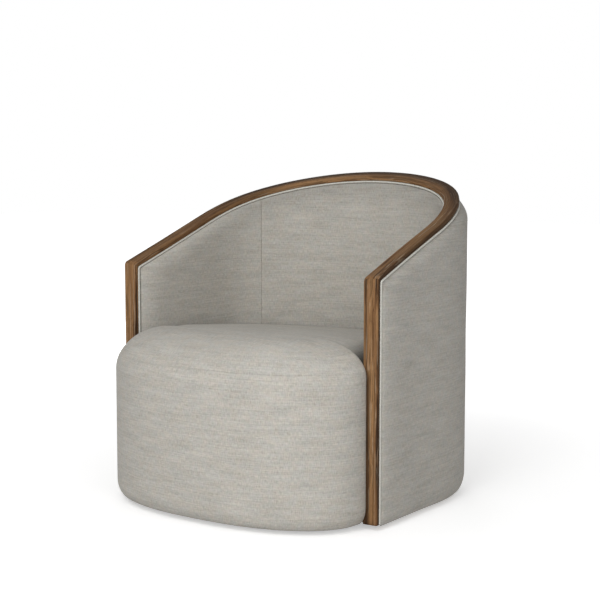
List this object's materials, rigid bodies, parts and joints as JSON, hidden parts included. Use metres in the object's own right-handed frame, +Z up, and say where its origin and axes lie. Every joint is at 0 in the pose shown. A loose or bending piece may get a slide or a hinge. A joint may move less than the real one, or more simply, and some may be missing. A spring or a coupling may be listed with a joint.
{
  "type": "swivel barrel chair",
  "caption": "Upholstered barrel armchair with a round seat front and an oak band along its arms and back, turning on a hidden floor swivel.",
  "frame": {"origin": "on the floor, under the middle of the overall box, which is also the swivel's axis", "axes": "+Z up, the sitter looks along -Y, +X is the sitter's left"},
  "size_m": [0.7928, 0.822, 0.7931],
  "materials": {
    "oak": "open-pored oak, brown stain with a limed grain, matt oil",
    "linen": "plain-woven linen blend with slubs, greige",
    "welt": "the same linen cut on the bias round a cord, paler",
    "foam": "open-cell polyurethane foam",
    "plywood": "raw birch plywood",
    "beech": "raw sawn beech",
    "black_ply": "plywood painted matt black",
    "webbing": "woven elastic upholstery webbing",
    "cambric": "black spun-bonded dust cloth",
    "steel": "zinc-plated pressed steel",
    "nylon": "moulded nylon"
  },
  "bodies": {
    "base": {"glide_pad_1": "nylon", "glide_pad_2": "nylon", "glide_pad_3": "nylon", "glide_pad_4": "nylon", "plinth": "black_ply", "swivel_lower_plate": "steel", "lower_plate_screw_1": "steel", "lower_plate_screw_2": "steel", "lower_plate_screw_3": "steel", "lower_plate_screw_4": "steel", "pivot_bolt": "steel", "pivot_washer": "nylon", "pivot_nut": "steel"},
    "ball_cage": {"ball_cage": "nylon", "bearing_ball_1": "steel", "bearing_ball_2": "steel", "bearing_ball_3": "steel", "bearing_ball_4": "steel", "bearing_ball_5": "steel", "bearing_ball_6": "steel"},
    "chair": {"swivel_upper_plate": "steel", "upper_plate_screw_1": "steel", "upper_plate_screw_2": "steel", "upper_plate_screw_3": "steel", "upper_plate_screw_4": "steel", "mounting_board": "plywood", "bottom_rib_front": "plywood", "bottom_rib_back": "plywood", "deck_front_rail": "plywood", "deck_back_rail": "plywood", "deck_left_rail": "plywood", "deck_right_rail": "plywood", "seat_webbing": "webbing", "wall_stud_1": "beech", "wall_stud_2": "beech", "wall_stud_3": "beech", "arm_post_left": "beech", "arm_post_right": "beech", "top_rib": "beech", "wall_shell": "plywood", "front_stud_1": "beech", "front_stud_2": "beech", "apron_shell": "plywood", "outer_padding": "foam", "inner_padding": "foam", "apron_foam": "foam", "seat_foam": "foam", "outer_cover": "linen", "inner_cover_left": "linen", "inner_cover_back": "linen", "inner_cover_right": "linen", "seat_cover": "linen", "dust_cover": "cambric", "piping_outer": "welt", "piping_inner": "welt", "trim_rail": "oak", "trim_post_left": "oak", "trim_post_right": "oak", "mitre_tenon_left": "beech", "mitre_tenon_right": "beech"}
  },
  "joints": [
    {"name": "seat_swivel", "type": "hinge", "parent": "base", "child": "chair", "pos_m": [0, 0, 0.027], "axis": [0, 0, 1], "continuous": true},
    {"name": "cage_spin", "type": "hinge", "parent": "base", "child": "ball_cage", "pos_m": [0, 0, 0.027], "axis": [0, 0, 1], "continuous": true}
  ],
  "couplings": [
    {"joint": "cage_spin", "follows": "seat_swivel", "ratio": 0.5}
  ]
}
